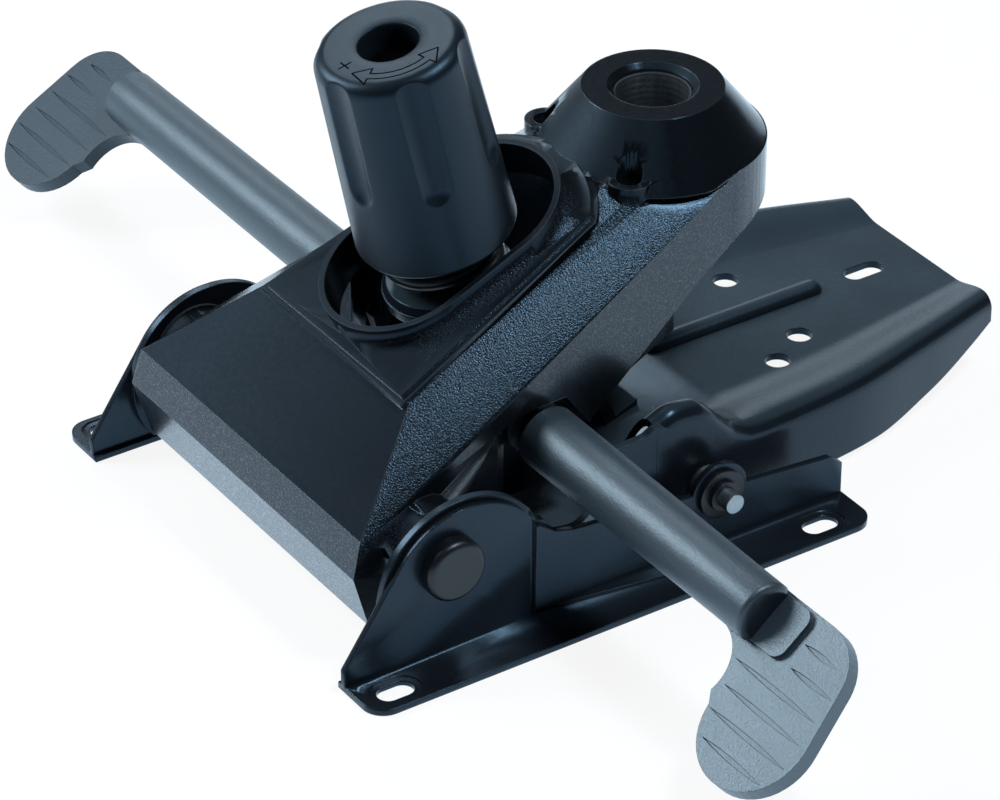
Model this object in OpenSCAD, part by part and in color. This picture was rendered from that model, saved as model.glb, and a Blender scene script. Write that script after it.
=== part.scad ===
// Knee-tilt mechanism of a swivel chair, lying on its seat rails: the gas-lift socket points up.
// Lengths are in millimetres. +X runs along the lever tubes, +Y to the back of the chair, +Z up.
// Places are given in the seat frame: x = 0 on the centre plane, y = 0 midway between the seat
// slots, z = 0 on the underside of the rails. place() moves that frame to the socket's mouth.

/* [Seat rails] */
// Thickness of the rail sheet
rail_t = 2.5; // [1.5:0.1:4]
// Half distance between the outer faces of the two rail walls
rail_x = 91; // [89.5:0.1:96]
// Half distance over the two flanges
flange_x = 114; // [110:0.5:130]
// Front end of the rails
rail_front_y = -110.5; // [-120:0.5:-107]
// Rear end of the rails
rail_rear_y = 116; // [110:0.5:125]
// Corner radius of the flanges
flange_corner_r = 9; // [4:0.5:12]
// Half distance between the two rows of slots
slot_x = 104.4; // [100:0.1:108]
// Distance between front and rear slots
slot_pitch = 192; // [180:1:196]
// Width of a seat slot
slot_w = 9; // [6:0.1:11]
// End to end length of a seat slot
slot_l = 15; // [12:0.1:20]
// Depth of the pressed ring round a slot
dimple_depth = 0.5; // [0.2:0.1:0.8]
// Outward set of the wall round the front pivot
joggle = 2; // [1:0.1:3]
// Radius of the big front lobe of a rail
lobe_r = 34; // [30:0.5:36]
// Radius of the rear lug of a rail
lug_r = 12.5; // [9.5:0.5:14]

/* [Front pivot and rear bolts] */
// Front pivot, distance along Y
pivot_y = -65; // [-68:0.5:-62]
// Front pivot, height over the rails' underside
pivot_z = 39; // [36:0.5:42]
// Radius of the front shaft
shaft_r = 8; // [6:0.1:9]
// Radius of the domed heads on the front shaft
head_r = 12.5; // [10:0.1:15]
// Thickness of the domed heads
head_t = 6.5; // [4:0.1:9]
// Rear bolt, distance along Y
bolt_y = 58; // [54:0.5:62]
// Rear bolt, height over the rails' underside
bolt_z = 23.6; // [20:0.1:27]
// Radius of the rear bolts
bolt_r = 4; // [3:0.1:5]
// Radius of the washer under a rear bolt's lock ring
washer_r = 10; // [8:0.1:12]

/* [Back plate] */
// Thickness of the back plate's sheet
plate_t = 3; // [2:0.1:4]
// Rear edge of the back plate
plate_rear_y = 222; // [215:1:232]
// Height of the dish floor's upper face
floor_z = 29; // [26:0.5:32]
// Half width of the back plate at its bend
plate_half_w = 77; // [75:0.5:79]
// Bend across the back plate, distance along Y
bend_y = 86; // [84:0.5:88]
// Radius of the rolled rims
rim_r = 6; // [4.5:0.5:8]
// Radius of the round holes for the back bracket
back_hole_r = 5.2; // [4:0.1:6]
// Distance between the two middle holes
mid_hole_pitch = 49.4; // [44:0.2:56]
// Middle holes, distance along Y
mid_hole_y = 144.5; // [140:0.5:150]
// Distance between the two front holes
front_hole_pitch = 70.4; // [64:0.2:76]
// Front holes, distance along Y
front_hole_y = 126.2; // [120:0.2:132]
// Rear slot, distance along Y of its centre
rear_slot_y = 195; // [190:0.5:200]
// End to end length of the rear slot
rear_slot_l = 18; // [14:0.5:24]
// Radius of the bead along the middle of the dish
bead_r = 4.5; // [3:0.1:6]
// Length of that bead between its end rounds
bead_l = 76; // [60:1:78]

/* [Housing] */
// Thickness of the casting's walls
wall = 5; // [3.5:0.1:6]
// Gas-lift axis, distance along Y
socket_y = 88.8; // [86:0.2:92]
// Height of the socket's rim over the rails' underside
rim_z = 147.5; // [144:0.5:152]
// Radius of the socket's straight mouth
socket_r = 14.15; // [13:0.05:15]
// Length of the straight mouth
socket_l = 24; // [16:1:30]
// Depth of the chamfer at the socket's rim
chamfer_h = 3.5; // [2:0.1:5]
// Lower end of the socket tube
socket_end_z = 84; // [83:0.5:92]
// Radius of the flat top of the boss
boss_r = 27.5; // [24:0.5:30]
// Radius of the rear round of the casting
rear_r = 44; // [41:0.5:46]
// Half width of the casting at its front
front_half_w = 79.8; // [76:0.2:81]
// Slope of the spine
spine_slope = 24; // [22:0.5:25]
// Height of the raised pad
pad_h = 2.7; // [1.5:0.1:4]
// Half width of the pad at its front
pad_half_w = 46.9; // [44:0.1:50]
// Half width of the oval opening
oval_r = 31.5; // [30.5:0.1:33]
// Length of the oval opening
oval_l = 98; // [94:1:102]
// Height of the collar over the pad
collar_h = 8; // [4:0.5:9]
// Thickness of the collar
collar_t = 2.5; // [1.5:0.1:3.5]

/* [Tension adjuster] */
// Lean of the tension bolt towards the front
bolt_lean = 13.4; // [12:0.2:15]
// Radius of the tension bolt
stem_r = 6; // [5:0.1:7]
// Height of the spring seat over the anchor pin, along the bolt
seat_h = 58.8; // [56:0.2:61]
// Height of the knob's top over the anchor pin, along the bolt
knob_top_h = 166; // [162:0.5:172]
// Length of the knob
knob_l = 87; // [82:0.5:90]
// Radius of the knob at its open end
knob_base_r = 31; // [30:0.1:33]
// Radius of the knob at its closed end
knob_top_r = 28.5; // [26:0.1:30]
// Wall of the knob at its open end
knob_wall = 5.5; // [4:0.1:6]
// Number of flutes round the knob
flutes = 6; // [4:1:9]
// Depth of the flutes
flute_depth = 2.8; // [1:0.1:3]
// Radius of the spring's wire
wire_r = 3.3; // [2:0.1:3.6]
// Radius of the spring at the middle of its wire
coil_r = 19.8; // [17:0.1:20.5]
// Turns of the spring
turns = 6.5; // [5:0.5:7.5]

/* [Levers] */
// Lever axis, distance along Y
lever_y = -4; // [-5:0.2:-2]
// Lever axis, height over the rails' underside
lever_z = 58; // [57:0.2:61]
// Radius of the steel rods
rod_r = 6; // [4.5:0.1:6.5]
// Radius of a sleeve at its inner end
sleeve_r = 12.6; // [11:0.1:13]
// Radius of a sleeve at its outer end
sleeve_end_r = 11.9; // [10.5:0.1:12.5]
// Inner end of the sleeves
sleeve_x = 66.6; // [65.5:0.1:70]
// Start of the right paddle's neck
right_end_x = 185.5; // [150:0.5:220]
// Start of the left paddle's neck
left_end_x = 224.8; // [160:0.2:240]
// Thickness of a paddle
paddle_t = 6.5; // [5:0.5:7]
// Length of a paddle from its neck to its far side
paddle_l = 68.3; // [60:0.1:76]
// Radius of a paddle's big lobe
paddle_lobe_r = 24; // [20:0.5:25]
// Distance of that lobe's centre from the lever axis
paddle_drop = 33; // [28:0.5:38]
// Slope of the paddles
paddle_slope = 39; // [30:1:45]
// Distance between neighbouring grooves on a paddle
groove_pitch = 9.54; // [8:0.02:10]

/* [Fits] */
// Radial clearance of a turning fit
run_gap = 0.05; // [0.01:0.01:0.1]
// Gap between pieces that pass or stand by each other
gap = 0.3; // [0.2:0.05:0.5]

/* [Hidden] */
$fn = 64;
far = 400;

// Seat rails
lobe_c = [pivot_y + 8, pivot_z - 12.2];
rail_in_x = rail_x - rail_t;
nose_z = 9;
joggle_y = -27;
joggle_run = 2;
head_x = rail_x + joggle;
neck_tail_y = -24;

// Housing, side view
spine_y = -54.5;
spine_z = 81.3;
crease_y = -93.7;
crease_z = 51.3;
nose_y = -97.7;
nose_mid_z = 37;
box_low_y = -90.8;
box_low_z = 13.5;
box_rear_y = -26;
deck_z = rim_z - 20.5;
deck_y = spine_y + (deck_z - spine_z) / tan(spine_slope);
tail_y = socket_y + rear_r + 4;
shoulder_p = [front_half_w - 1.5, crease_y, crease_z];
shoulder_tilt = 37.3;
shoulder_turn = -20;
boss_h = 23.5;
socket_z = rim_z - chamfer_h;
tube_r = socket_r + 7;
oval_y = 55.5;
pad_l = 114;
pad_end_half_w = 36;
pad_end_y = 99;
pad_step = 2.5;
lug_hole_x = 27.6;
lug_hole_y = 59;
lug_hole_r = 2.5;
lug_boss_r = 8.5;
lug_top_z = deck_z + 2;
inner_wall_x = 55;
inner_low_z = 28;
inner_rear_y = 22;
ear_x = 85.5;
ear_r = 24;

// Tension adjuster
anchor_y = 9;
anchor_z = 40;
anchor_r = 6;
eye_r = 11;
eye_half = 7;
knob_base_h = knob_top_h - knob_l;
knob_in_r = knob_base_r - knob_wall;
nut_t = 10;
nut_r = 10.9;
hole_depth = 10;
web_t = 20;
web_h = knob_top_h - hole_depth - web_t;
thrust_t = 3.5;
thrust_h = web_h - gap - thrust_t;
seat_t = 3;
bridge_t = 4;
bridge_half_w = 26;
window_half_w = 12;
bridge_rear = 24;
wire_low_h = seat_h + gap + wire_r;
wire_high_h = thrust_h - gap - wire_r;

// Levers
rod_in_x = 13;
bush_x0 = 40;
bush_wall = 2.5;
clip_t = 1.6;
clip_r = rod_r + 4;
pawl_x = 15;
pawl_t = 5;
arm_t = 6;
keep_turn = 17.3;
scoop_l = 18;
tongue_h = 2;
tongue_z = -1.5;

// Moves the seat frame so that the mouth of the gas-lift socket is the origin.
module place() {
    translate([0, -socket_y, -socket_z]) children();
}

// Extrudes a side view, drawn as (y, z), from x0 to x1.
module along_x(x0, x1) {
    translate([x0, 0, 0]) rotate([90, 0, 90]) linear_extrude(x1 - x0) children();
}

// A round bar along X.
module bar_x(at, r, x0, x1) {
    translate([x0, at.x, at.y]) rotate([0, 90, 0]) cylinder(r = r, h = x1 - x0);
}

// A flat ring along X.
module ring_x(at, r, bore, x0, x1) {
    difference() {
        bar_x(at, r, x0, x1);
        bar_x(at, bore, x0 - 1, x1 + 1);
    }
}

module both_sides() {
    children();
    mirror([1, 0, 0]) children();
}

// Frame of the spine: y runs up the slope, z stands square to it.
module on_spine() {
    translate([0, spine_y, spine_z]) rotate([spine_slope, 0, 0]) children();
}

// Frame of the tension bolt: z runs up the bolt from the anchor pin.
module on_bolt() {
    translate([0, anchor_y, anchor_z]) rotate([bolt_lean, 0, 0]) children();
}

// Stadium of a given half width and length, long along y.
module stadium(r, l) {
    for (s = [-1, 1]) translate([0, s * (l / 2 - r)]) circle(r);
    square([2 * r, l - 2 * r], center = true);
}

// Point where a line from p touches a circle, on its left as seen from p.
function touch(p, c, r) =
    let (v = c - p, d = norm(v), a = atan2(v.y, v.x) + asin(r / d), l = sqrt(d * d - r * r))
    p + l * [cos(a), sin(a)];

// Side view of a rail's wall.
module rail_side() {
    nose = [rail_front_y, nose_z];
    intersection() {
        union() {
            translate(lobe_c) circle(lobe_r + 0.02);
            polygon([[rail_front_y, 0], nose, touch(nose, lobe_c, lobe_r), lobe_c,
                     [lobe_c.x + lobe_r, lobe_c.y], [lobe_c.x + lobe_r, 0]]);
            polygon([[lobe_c.x, 0], [lobe_c.x, 40], [neck_tail_y, 39.5], [-17, 34.5], [-9, 32.2],
                     [bolt_y - 12, bolt_z + 2.4], [bolt_y + 14, bolt_z], [rail_rear_y - 6, 20.3],
                     [rail_rear_y, 15.8], [rail_rear_y, 0]]);
            translate([bolt_y, bolt_z]) circle(lug_r);
        }
        translate([-far, 0]) square(2 * far);
    }
}

// Plan of a rail's wall, set outward round the front pivot.
module rail_plan() {
    x = rail_in_x;
    y0 = joggle_y - joggle_run;
    y1 = joggle_y + joggle_run;
    polygon([[x, rail_rear_y], [x, y1], [x + joggle, y0], [x + joggle, rail_front_y],
             [x + joggle + rail_t, rail_front_y], [x + joggle + rail_t, y0], [x + rail_t, y1],
             [x + rail_t, rail_rear_y]]);
}

// Plan of a rail's flange, with round outer corners.
module flange_plan() {
    r = flange_corner_r;
    l = rail_rear_y - rail_front_y;
    translate([rail_in_x, rail_front_y]) {
        square([flange_x - r - rail_in_x, l]);
        translate([0, r]) square([flange_x - rail_in_x, l - 2 * r]);
        for (y = [r, l - r]) translate([flange_x - r - rail_in_x, y]) circle(r);
    }
}

module seat_rail() {
    difference() {
        union() {
            intersection() {
                linear_extrude(far) rail_plan();
                along_x(0, far) rail_side();
            }
            linear_extrude(rail_t) flange_plan();
        }
        for (s = [-1, 1]) translate([slot_x, s * slot_pitch / 2, 0]) {
            translate([0, 0, -1]) linear_extrude(rail_t + 2) stadium(slot_w / 2, slot_l);
            translate([0, 0, rail_t - dimple_depth]) linear_extrude(1) stadium(slot_w / 2 + 3, slot_l + 6);
        }
        bar_x([pivot_y, pivot_z], shaft_r + run_gap, rail_in_x - 1, head_x + 1);
        bar_x([bolt_y, bolt_z], bolt_r + run_gap, rail_in_x - 1, rail_x + 1);
    }
}

module seat_rail_right() {
    color("#17181a") place() seat_rail();
}

module seat_rail_left() {
    color("#17181a") place() mirror([1, 0, 0]) seat_rail();
}

// Domed head standing on the outer face of a rail, drawn for the right side.
module domed_head(bore) {
    edge = 2.5;
    translate([head_x, pivot_y, pivot_z]) rotate([0, 90, 0]) rotate_extrude() difference() {
        union() {
            square([head_r, head_t - edge]);
            square([head_r - edge, head_t]);
            translate([head_r - edge, head_t - edge]) circle(edge);
        }
        translate([-far, -1]) square([far + bore, head_t - 2]);
        translate([-far, -1]) square([far, far]);
    }
}

module front_shaft() {
    color("#1b1c1e") place() {
        bar_x([pivot_y, pivot_z], shaft_r, -head_x - head_t + 3.5, head_x + 0.5);
        domed_head(0);
    }
}

module shaft_cap() {
    color("#1b1c1e") place() mirror([1, 0, 0]) domed_head(shaft_r + run_gap);
}

// Outer face of the back plate's side wall, at a distance along Y.
function wall_x(y) = lookup(y, [[bend_y - 50, plate_half_w + 3.5], [bend_y - 26, plate_half_w + 2.5],
                                [bend_y, plate_half_w], [bend_y + 50, plate_half_w - 5],
                                [bend_y + 96, plate_half_w - 16], [plate_rear_y, plate_half_w - 28]]);
// Height of the rolled rim.
function rim_top(y) = lookup(y, [[bend_y - 50, floor_z + 26], [bend_y - 40, floor_z + 29],
                                 [bend_y - 30, floor_z + 27.5], [bend_y - 24, floor_z + 23.5],
                                 [bend_y - 18, floor_z + 17.5], [bend_y - 11, floor_z + 11],
                                 [bend_y - 2, floor_z + 7], [bend_y + 10, floor_z + 6],
                                 [bend_y + 94, floor_z + 5], [plate_rear_y, floor_z + 3.5]]);
// Height of the dish floor, which falls away forward of the bend and runs out in a low apron.
function floor_at(y) = lookup(y, [[bend_y - 64, floor_z - 21], [bend_y - 50, floor_z - 14], [bend_y, floor_z],
                                  [plate_rear_y, floor_z]]);
// Height of the lower edge of the side wall.
function wall_low(y) = lookup(y, [[bend_y - 50, 4], [bend_y + 64, 3], [plate_rear_y - 40, 8],
                                  [plate_rear_y - 10, 17], [plate_rear_y, 21]]);

// Half of a section through the back plate, from the centre plane to the foot of the wall.
// The floor swells up to the rim as a smooth step, and the rim rolls over a quarter circle.
// The inner face is set in square to the sheet.
function half_section(y, inset) =
    let (w = wall_x(y), zf = floor_at(y), zr = rim_top(y), x0 = 0.52 * w, run = w - rim_r - x0)
    concat([[0, zf - inset]],
           [for (i = [0:7]) let (t = i / 7, k = (zr - zf) * 6 * t * (1 - t) / run, n = inset / sqrt(1 + k * k))
            [x0 + run * t + k * n, zf + (zr - zf) * t * t * (3 - 2 * t) - n]],
           [for (a = [60, 30, 0]) [w - rim_r, zr - rim_r] + (rim_r - inset) * [cos(a), sin(a)]],
           [[w - inset, wall_low(y)]]);

// One closed ring of the section: outer face from left to right, then the inner face back.
function section_ring(y) =
    let (o = half_section(y, 0), i = half_section(y, plate_t), n = len(o))
    concat([for (k = [n - 1:-1:1]) [-o[k].x, y, o[k].y]], [for (k = [0:n - 1]) [o[k].x, y, o[k].y]],
           [for (k = [n - 1:-1:1]) [i[k].x, y, i[k].y]], [for (k = [0:n - 1]) [-i[k].x, y, i[k].y]]);

// Loft of the dish through its stations, with strips that close both ends.
module dish() {
    ys = concat([for (d = [-50, -44, -38, -30, -24, -18, -11, -2, 10, 29, 50, 74, 96]) bend_y + d],
                [for (d = [-22, -10, 0]) plate_rear_y + d]);
    rings = [for (y = ys) section_ring(y)];
    m = len(rings[0]);
    h = m / 2;
    n = len(ys);
    sides = [for (s = [0:n - 2], k = [0:m - 1]) let (a = s * m + k, b = s * m + (k + 1) % m)
             each [[a, a + m, b], [b, a + m, b + m]]];
    caps = [for (k = [0:h - 2]) let (p = m - 1 - k, q = m - 2 - k)
            each [[k, k + 1, q, p], [(n - 1) * m + p, (n - 1) * m + q, (n - 1) * m + k + 1, (n - 1) * m + k]]];
    polyhedron([for (r = rings) each r], concat(sides, caps), convexity = 6);
}

// Side view of the arms that run forward to the front pivot.
module arm_side() {
    low = wall_low(dish_y) + lap;
    difference() {
        union() {
            translate(lobe_c) circle(lobe_r + 2);
            polygon([[lobe_c.x, low], [lobe_c.x, 40], [neck_tail_y + 2, 40], [-13, 31.5], [4, 30], [9, 34.5],
                     [dish_y - 24, 42], [dish_y - 22.5, 48], [dish_y - 19, 51.5], [dish_y - 14, 52],
                     [dish_y - 6, 52.5], [dish_y, rim_top(dish_y)], [dish_y + 8, rim_top(dish_y + 8) - rim_r],
                     [dish_y + 8, low]]);
        }
        translate([-far, low - far]) square([2 * far, far]);
    }
}

// Plan of an arm: it lies against the rail and leads back into the dish's side wall.
module arm_plan() {
    x = rail_in_x - gap;
    edge = [[x + joggle, lobe_c.x - lobe_r - 4], [x + joggle, joggle_y - joggle_run],
            [x, joggle_y + joggle_run], [x, -8], [wall_x(dish_y), dish_y - 24], [wall_x(dish_y) - lap, dish_y],
            [wall_x(dish_y + 8) - lap, dish_y + 8]];
    polygon(concat(edge, [for (i = [len(edge) - 1:-1:0]) edge[i] - [plate_t, 0]]));
}

// Low apron that carries the dish's floor forward between the arms.
module apron() {
    y0 = -18;
    y1 = dish_y + 0.5;
    x = wall_x(dish_y) - plate_t / 2;
    intersection() {
        both_sides() linear_extrude(far)
            polygon([[-1, y0], [rail_in_x - 2, y0], [rail_in_x - 2, -8], [x, dish_y - 23], [x, y1], [-1, y1]]);
        along_x(-far, far) polygon([for (y = [y0, dish_y - 14, y1]) [y, floor_at(y)],
                                    for (y = [y1, dish_y - 14, y0]) [y, floor_at(y) - plate_t]]);
    }
}

// Outer face of the side wall at the rear bolt, and the front end of the dish.
bolt_wall_x = wall_x(bolt_y);
dish_y = bend_y - 50;
bead_y = bend_y + 6;
// Step that keeps the lapped faces of arms and dish apart.
lap = 0.08;

module back_plate() {
    color("#111214") place() difference() {
        union() {
            dish();
            apron();
            both_sides() intersection() {
                linear_extrude(far) arm_plan();
                along_x(0, far) arm_side();
            }
            translate([0, bead_y, floor_z - 0.5]) rotate([-90, 0, 0]) cylinder(r = bead_r, h = bead_l);
            for (y = [bead_y, bead_y + bead_l]) translate([0, y, floor_z - 0.5]) rotate([90, 0, 0]) sphere(bead_r);
        }
        for (s = [-1, 1]) {
            translate([s * mid_hole_pitch / 2, mid_hole_y, 0]) cylinder(r = back_hole_r, h = far);
            translate([s * front_hole_pitch / 2, front_hole_y, 0]) cylinder(r = back_hole_r, h = far);
        }
        translate([0, rear_slot_y, 0]) linear_extrude(far) stadium(back_hole_r - 0.7, rear_slot_l);
        bar_x([pivot_y, pivot_z], shaft_r + run_gap, -far, far);
        bar_x([bolt_y, bolt_z], bolt_r + run_gap, -far, far);
        translate([-2 * bead_r, bead_y - 2 * bead_r, -far])
            cube([4 * bead_r, bead_l + 4 * bead_r, far + floor_z - plate_t]);
    }
}

module rear_bolts() {
    at = [bolt_y, bolt_z];
    color("#9a9b9c") place() both_sides() {
        bar_x(at, bolt_r, bolt_wall_x - plate_t - 6, rail_x + 10);
        bar_x(at, bolt_r + 3, bolt_wall_x - plate_t - 6, bolt_wall_x - plate_t - 3);
        ring_x(at, bolt_r + 3, bolt_r - 0.5, bolt_wall_x + 2, rail_in_x - gap);
    }
}

module bolt_washers() {
    color("#1b1c1e") place() both_sides()
        ring_x([bolt_y, bolt_z], washer_r, bolt_r + run_gap, rail_x, rail_x + 2);
}

module lock_rings() {
    color("#232426") place() both_sides()
        ring_x([bolt_y, bolt_z], bolt_r + 2.4, bolt_r + run_gap, rail_x + 2, rail_x + 4);
}

// Plan of the casting: a wide front that tapers to a round about the gas-lift axis.
module housing_plan(inset) {
    p = [front_half_w - inset, nose_y - 1];
    c = [0, socket_y];
    r = rear_r - inset;
    v = c - p;
    a = atan2(v.y, v.x) - asin(r / norm(v));
    t = p + sqrt(norm(v) * norm(v) - r * r) * [cos(a), sin(a)];
    polygon([p, t, [-t.x, t.y], [-p.x, p.y]]);
    translate(c) circle(r + 0.02);
}

// Side view of the casting's outside: front box, wedge, spine, deck and the skirt's lower edge.
module housing_side() {
    polygon([[box_low_y, box_low_z], [nose_y, nose_mid_z], [crease_y, crease_z], [spine_y, spine_z],
             [deck_y, deck_z], [tail_y, deck_z], [tail_y, deck_z - 18], [socket_y + 12, deck_z - 28],
             [socket_y - 9, deck_z - 39], [inner_rear_y - 1, 50.6], [lever_y + 13, lever_z + 9],
             [lever_y - 6, lever_z + 11.4], [box_rear_y, lever_z + 9], [box_rear_y, box_low_z]]);
}

// Side view of the space inside the casting, open below.
module cavity_side() {
    lean = wall / cos(spine_slope);
    polygon([[box_low_y + wall, -far], [box_low_y + wall, box_low_z], [nose_y + wall, nose_mid_z],
             [crease_y + wall, crease_z - 2], [spine_y + 2, spine_z - lean],
             [deck_y + 2, deck_z - wall], [tail_y, deck_z - wall], [tail_y, -far]]);
}

// Removes what lies above the two sloping shoulders, moved inward by a distance.
module shoulder_cut(inset) {
    both_sides() translate(shoulder_p) rotate([0, shoulder_tilt, shoulder_turn])
        translate([-far, -far, -inset]) cube(2 * far);
}

module housing_form() {
    difference() {
        intersection() {
            linear_extrude(far) housing_plan(0);
            along_x(-far, far) housing_side();
        }
        shoulder_cut(0);
    }
}

module housing_cavity() {
    difference() {
        intersection() {
            translate([0, 0, -1]) linear_extrude(far) housing_plan(wall);
            along_x(-far, far) cavity_side();
        }
        shoulder_cut(wall);
    }
}

// Plan of the pad on the spine: straight front, drawn-in sides and one large rear round.
module pad_plan(grow) {
    rise = pad_l - pad_end_y;
    r = (pad_end_half_w * pad_end_half_w + rise * rise) / (2 * rise) + grow;
    cy = pad_l + grow - r;
    intersection() {
        polygon([[-pad_half_w - grow, -grow], [pad_half_w + grow, -grow],
                 [pad_end_half_w + grow, pad_end_y], [pad_end_half_w + grow - 3, pad_l + 20],
                 [3 - pad_end_half_w - grow, pad_l + 20], [-pad_end_half_w - grow, pad_end_y]]);
        union() {
            translate([-far, -far]) square([2 * far, far + cy]);
            translate([0, cy]) circle(r);
        }
    }
}

// Walls inside the casting that carry the levers and the anchor pin and run back beside the oval,
// cut to the casting's outside.
module inner_walls() {
    skin = 6;
    intersection() {
        both_sides() translate([0, 0, inner_low_z]) linear_extrude(far)
            polygon([[66, box_rear_y - 4], [inner_wall_x, lever_y - 12], [inner_wall_x - 3, inner_rear_y],
                     [40, 72], [35, 72], [inner_wall_x - 3 - skin, inner_rear_y], [inner_wall_x - skin, lever_y - 14],
                     [66 - skin, box_rear_y - 6]]);
        union() {
            housing_form();
            translate([-far, box_rear_y - 8, inner_low_z])
                cube([2 * far, inner_rear_y - box_rear_y + 8, lever_z + 12 - inner_low_z]);
            along_x(-far, far) polygon([[inner_rear_y - 3, lever_z - 7], [74, lever_z + 7], [74, lever_z + 27],
                                        [inner_rear_y - 3, lever_z + 10]]);
        }
    }
}

module housing() {
    pivot = [pivot_y, pivot_z];
    lever = [lever_y, lever_z];
    color("#1d1e21") place() difference() {
        union() {
            difference() {
                housing_form();
                housing_cavity();
            }
            inner_walls();
            both_sides() bar_x(pivot, ear_r - 6, 60, ear_x);
            both_sides() bar_x(lever, rod_r + bush_wall + 4, bush_x0, inner_wall_x);
            intersection() {
                translate([0, socket_y, rim_z - boss_h]) cylinder(r1 = rear_r + 2, r2 = boss_r, h = boss_h);
                linear_extrude(far) housing_plan(0);
            }
            translate([0, socket_y, socket_end_z]) cylinder(r = tube_r, h = rim_z - boss_h - socket_end_z + 1);
            on_spine() {
                translate([0, 0, -1]) linear_extrude(1 + pad_h / 2) pad_plan(pad_step);
                translate([0, 0, -1]) linear_extrude(1 + pad_h) pad_plan(0);
                translate([0, oval_y, -1]) linear_extrude(1 + pad_h + collar_h)
                    stadium(oval_r + collar_t, oval_l + 2 * collar_t);
            }
            both_sides() translate([lug_hole_x, lug_hole_y, lug_top_z - 16])
                cylinder(r = lug_boss_r, h = 16);
        }
        on_spine() translate([0, oval_y, -3 * wall]) linear_extrude(far) stadium(oval_r, oval_l);
        translate([0, socket_y, socket_z]) cylinder(r1 = socket_r, r2 = socket_r + chamfer_h, h = chamfer_h + 0.01);
        translate([0, socket_y, socket_z - socket_l]) cylinder(r = socket_r, h = socket_l + 0.01);
        translate([0, socket_y, socket_end_z - 1])
            cylinder(r1 = socket_r - 1.1, r2 = socket_r - 0.05, h = socket_z - socket_l - socket_end_z + 1.01);
        both_sides() translate([lug_hole_x, lug_hole_y, lug_top_z - 14]) {
            cylinder(r = lug_hole_r, h = far);
            translate([0, 0, 11]) cylinder(r = lug_hole_r + 2.5, h = far);
        }
        both_sides() bar_x(pivot, shaft_r + 3 + run_gap, 50, far);
        both_sides() bar_x(lever, rod_r + bush_wall, bush_x0 - 1, far);
        both_sides() bar_x([anchor_y, anchor_z], anchor_r + run_gap, inner_wall_x - 20, inner_wall_x - 5);
    }
}

module front_bushes() {
    at = [pivot_y, pivot_z];
    color("#3a3b3d") place() both_sides() {
        ring_x(at, shaft_r + 3, shaft_r + run_gap, 60, ear_x);
        ring_x(at, ear_r - 6, shaft_r + run_gap, ear_x, rail_in_x - gap + joggle - plate_t - gap);
    }
}

module lever_bushes() {
    at = [lever_y, lever_z];
    color("#4a4b4d") place() both_sides() {
        ring_x(at, rod_r + bush_wall, rod_r + run_gap, bush_x0, inner_wall_x);
        ring_x(at, rod_r + bush_wall + 2.5, rod_r + run_gap, inner_wall_x, inner_wall_x + 2);
    }
}

module anchor_pin() {
    color("#8d8e90") place() bar_x([anchor_y, anchor_z], anchor_r, 5 - inner_wall_x, inner_wall_x - 5);
}

// Bridge of folded sheet that lifts the spring seat through the oval: a round table on two legs.
module spring_bridge() {
    z1 = seat_h - seat_t;
    top = [anchor_y, anchor_z] + (z1 - bridge_t) * [-sin(bolt_lean), cos(bolt_lean)]
        + bridge_rear * [cos(bolt_lean), sin(bolt_lean)];
    foot_y = 52;
    foot_l = 14;
    color("#141517") place() difference() {
        union() {
            on_bolt() translate([0, 0, z1 - bridge_t]) linear_extrude(bridge_t) {
                circle(bridge_half_w);
                translate([-bridge_half_w, 0]) square([2 * bridge_half_w, bridge_rear]);
            }
            along_x(0.5 - bridge_half_w, bridge_half_w - 0.5)
                polygon([top - [bridge_t, 1], top + [-1, bridge_t], [foot_y + bridge_t, floor_at(foot_y) + bridge_t],
                         [foot_y + foot_l, floor_at(foot_y + foot_l) + bridge_t],
                         [foot_y + foot_l, floor_at(foot_y + foot_l) + 0.05],
                         [foot_y, floor_at(foot_y) + 0.05]]);
        }
        on_bolt() cylinder(r = stem_r + 2.5, h = far);
        translate([-window_half_w, top.x - 3, -far]) cube([2 * window_half_w, far, 2 * far]);
    }
}

module spring_seat() {
    lip = 4;
    color("#0f1011") place() on_bolt() translate([0, 0, seat_h - seat_t]) difference() {
        union() {
            cylinder(r1 = coil_r + wire_r + 2.4, r2 = coil_r + wire_r + 0.6, h = seat_t);
            cylinder(r = coil_r - wire_r - 1, h = seat_t + lip);
        }
        translate([0, 0, -1]) cylinder(r = stem_r + 2.5, h = far);
    }
}

// Frame of the lock: origin on the lever axis, x away from the front pivot, y square to it.
module lock_frame() {
    translate([lever_y, lever_z]) rotate(keep_turn) children();
}

module lock_keeper() {
    z1 = seat_h - seat_t - bridge_t;
    color("#2a2b2d") place() difference() {
        along_x(-pawl_x - pawl_t, -pawl_x) union() {
            lock_frame() translate([-18, 10]) square([11, 15]);
            polygon([[-26, 74], [-18, 78], [-13, 95], [-22, 95]]);
        }
        along_x(-far, far) lock_frame() translate([-12.5, 13.2]) square([far, 6.4]);
        on_bolt() translate([-far, -far, z1]) cube(2 * far);
    }
}

// Height of the wire's centre after a number of turns: both end turns lie close.
function wire_rise(t) =
    let (close = (2 * wire_r + 0.6), free = (wire_high_h - wire_low_h - 2 * close) / (turns - 2))
    t < 1 ? close * t : t > turns - 1 ? wire_high_h - wire_low_h - close * (turns - t) : close + free * (t - 1);
wire_steps = 18;
wire_sides = 8;
wire_path = [for (i = [0:turns * wire_steps]) let (t = i / wire_steps)
             [coil_r * cos(360 * t), coil_r * sin(360 * t), wire_low_h + wire_rise(t)]];
// Least distance between the wire's surface on neighbouring turns.
wire_gap = min([for (i = [0:len(wire_path) - 1 - wire_steps])
                norm(wire_path[i + wire_steps] - wire_path[i])]) - 2 * wire_r;
echo(wire_gap = wire_gap);

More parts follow.
